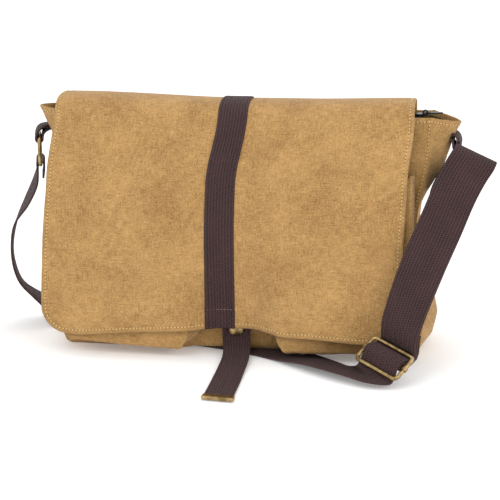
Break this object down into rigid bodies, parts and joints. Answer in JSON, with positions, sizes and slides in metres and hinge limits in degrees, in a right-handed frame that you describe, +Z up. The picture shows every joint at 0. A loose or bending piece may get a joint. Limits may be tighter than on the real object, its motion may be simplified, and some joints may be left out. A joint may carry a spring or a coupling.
{
  "type": "messenger bag",
  "caption": "Canvas messenger bag with a folding flap, snap pull tab, bellows pockets, zipped mouth and an adjustable webbing shoulder strap on metal rings.",
  "frame": {"origin": "middle of the bottom panel's underside, on the surface that the bag stands on", "axes": "+X to the bag's right as its flap is looked at, -Y out of its front, +Z up"},
  "size_m": [0.4553, 0.2168, 0.2278],
  "materials": {
    "canvas": "plain-woven cotton canvas",
    "lining": "smooth woven lining",
    "webbing": "herringbone cotton webbing",
    "brass": "antique, satin",
    "zip": "black enamel",
    "zip_tape": "fine woven tape",
    "board": "matt board"
  },
  "bodies": {
    "root": {"back_panel": "canvas", "base_board": "board", "bottom_panel": "canvas", "flap_anchor": "canvas", "front_panel": "canvas", "gusset_left": "canvas", "gusset_right": "canvas", "lining": "lining", "pocket_left_face": "canvas", "pocket_left_gusset": "canvas", "pocket_right_face": "canvas", "pocket_right_gusset": "canvas", "slider_frame": "brass", "snap_stud": "brass", "strap_back": "webbing", "strap_front": "webbing", "strap_long": "webbing", "tab_left": "webbing", "tab_right": "webbing", "zip_tape_back": "zip_tape", "zip_tape_front": "zip_tape"},
    "flap": {"flap_canvas": "canvas", "flap_lining": "lining", "closure_strap": "webbing", "pull_tab_top": "webbing", "snap_cap": "brass", "snap_socket": "brass"},
    "pull_tab": {"pull_tab": "webbing", "pull_tab_tip": "brass"},
    "zip_slider": {"zip_slider": "zip"},
    "zip_pull": {"zip_pull": "zip"},
    "ring_left": {"ring_left": "brass"},
    "ring_right": {"ring_right": "brass"},
    "slider_bar": {"slider_bar": "brass"}
  },
  "joints": [
    {"name": "flap_hinge", "type": "hinge", "parent": "root", "child": "flap", "pos_m": [0, 0.017, 0.221], "axis": [-1, 0, 0], "range_deg": [0, 180]},
    {"name": "pull_tab_hinge", "type": "hinge", "parent": "flap", "child": "pull_tab", "pos_m": [0.001, -0.0532, 0.0135], "axis": [-1, 0, 0], "range_deg": [0, 85]},
    {"name": "zip_slide", "type": "slide", "parent": "root", "child": "zip_slider", "axis": [-1, 0, 0], "range_m": [0, 0.29]},
    {"name": "zip_pull_hinge", "type": "hinge", "parent": "zip_slider", "child": "zip_pull", "pos_m": [0.161, 0, 0.21], "axis": [0, -1, 0], "range_deg": [0, 100]},
    {"name": "ring_left_hinge", "type": "hinge", "parent": "root", "child": "ring_left", "pos_m": [-0.189, 0, 0.184], "axis": [-0.309, 0.9511, 0], "range_deg": [-25, 80], "deforming": ["strap_long"]},
    {"name": "ring_right_hinge", "type": "hinge", "parent": "root", "child": "ring_right", "pos_m": [0.189, 0, 0.184], "axis": [0, -1, 0], "range_deg": [-25, 80], "deforming": ["strap_front", "strap_back"]},
    {"name": "slider_bar_slide", "type": "slide", "parent": "root", "child": "slider_bar", "axis": [0.5736, 0.5827, 0.5757], "range_m": [-0.006, 0.006]}
  ]
}
